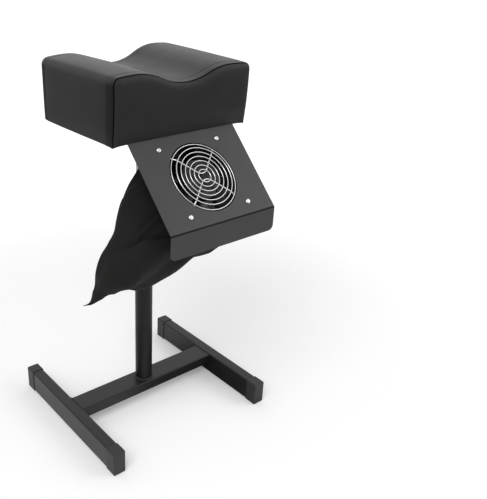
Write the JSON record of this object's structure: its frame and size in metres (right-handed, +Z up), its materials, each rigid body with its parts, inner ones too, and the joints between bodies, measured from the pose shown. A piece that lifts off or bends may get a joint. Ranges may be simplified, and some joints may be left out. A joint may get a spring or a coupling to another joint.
{
  "type": "pedicure footrest",
  "caption": "Padded footrest with a valley cushion on a height-adjustable post and H base, with a tilted fan panel and a cloth dust bag.",
  "frame": {"origin": "on the floor, at the middle of the footprint of the whole object's bounding box", "axes": "+Z up along the post; the fan faces -Y; the floor rails run along Y and the cross beam along X"},
  "size_m": [0.324, 0.3376, 0.6025],
  "materials": {
    "frame_paint": "black semi-gloss powder coat",
    "cap_plastic": "black moulded plastic",
    "collar_plastic": "black moulded plastic",
    "zinc_steel": "zinc-plated",
    "nylon": "natural nylon",
    "post_chrome": "bright chrome plate",
    "plate_paint": "black powder coat",
    "board_wood": "plain plywood",
    "foam": "upholstery foam",
    "cover_vinyl": "black vinyl, satin",
    "panel_paint": "dark grey satin powder coat",
    "fan_casting": "black painted casting",
    "fan_plastic": "black moulded plastic",
    "motor_steel": "bare steel",
    "motor_copper": "enamelled copper wire",
    "bag_cloth": "black woven polyester"
  },
  "bodies": {
    "stand": {"side_bar_left": "frame_paint", "side_bar_right": "frame_paint", "cross_beam": "frame_paint", "beam_weld_beads": "frame_paint", "outer_post": "frame_paint", "post_weld_bead": "frame_paint", "end_cap_left_front": "cap_plastic", "end_cap_left_rear": "cap_plastic", "end_cap_right_front": "cap_plastic", "end_cap_right_rear": "cap_plastic", "post_collar": "collar_plastic", "clamp_nut": "zinc_steel"},
    "clamp_pad": {"clamp_pad": "nylon"},
    "clamp_knob": {"clamp_screw": "zinc_steel", "clamp_knob": "collar_plastic"},
    "post_foot": {"post_foot_plug": "collar_plastic"},
    "head": {"inner_post": "post_chrome", "plate_weld_bead": "plate_paint", "top_plate": "plate_paint", "plate_screws": "zinc_steel", "base_board": "board_wood", "cushion_foam": "foam", "cushion_cover": "cover_vinyl", "fan_panel": "panel_paint", "panel_screws": "zinc_steel", "finger_guard": "post_chrome", "fan_frame": "fan_casting", "terminal_cover": "collar_plastic", "stator_core": "motor_steel", "stator_coils": "motor_copper", "fan_bearings": "motor_steel", "fan_screws": "post_chrome", "fan_nuts": "zinc_steel", "dust_bag": "bag_cloth", "bag_hem": "bag_cloth"},
    "rotor": {"fan_rotor": "fan_plastic", "rotor_cage": "motor_steel", "rotor_shaft": "motor_steel"}
  },
  "joints": [
    {"name": "height_slide", "type": "slide", "parent": "stand", "child": "post_foot", "axis": [0, 0, 1], "range_m": [-0.13, 0.05]},
    {"name": "head_swivel", "type": "hinge", "parent": "post_foot", "child": "head", "pos_m": [0, 0.02382, 0.511], "axis": [0, 0, 1], "continuous": true},
    {"name": "fan_spin", "type": "hinge", "parent": "head", "child": "rotor", "pos_m": [0, -0.1195, 0.45993], "axis": [0, -0.7193, 0.6947], "continuous": true},
    {"name": "clamp_feed", "type": "slide", "parent": "stand", "child": "clamp_pad", "axis": [0, -1, 0], "range_m": [0, 0.0038]},
    {"name": "knob_turn", "type": "hinge", "parent": "clamp_pad", "child": "clamp_knob", "pos_m": [0, -0.00968, 0.341], "axis": [0, -1, 0], "range_deg": [0, 1080]}
  ],
  "couplings": [
    {"joint": "clamp_feed", "follows": "knob_turn", "m_per_rad": 0.00019894}
  ]
}
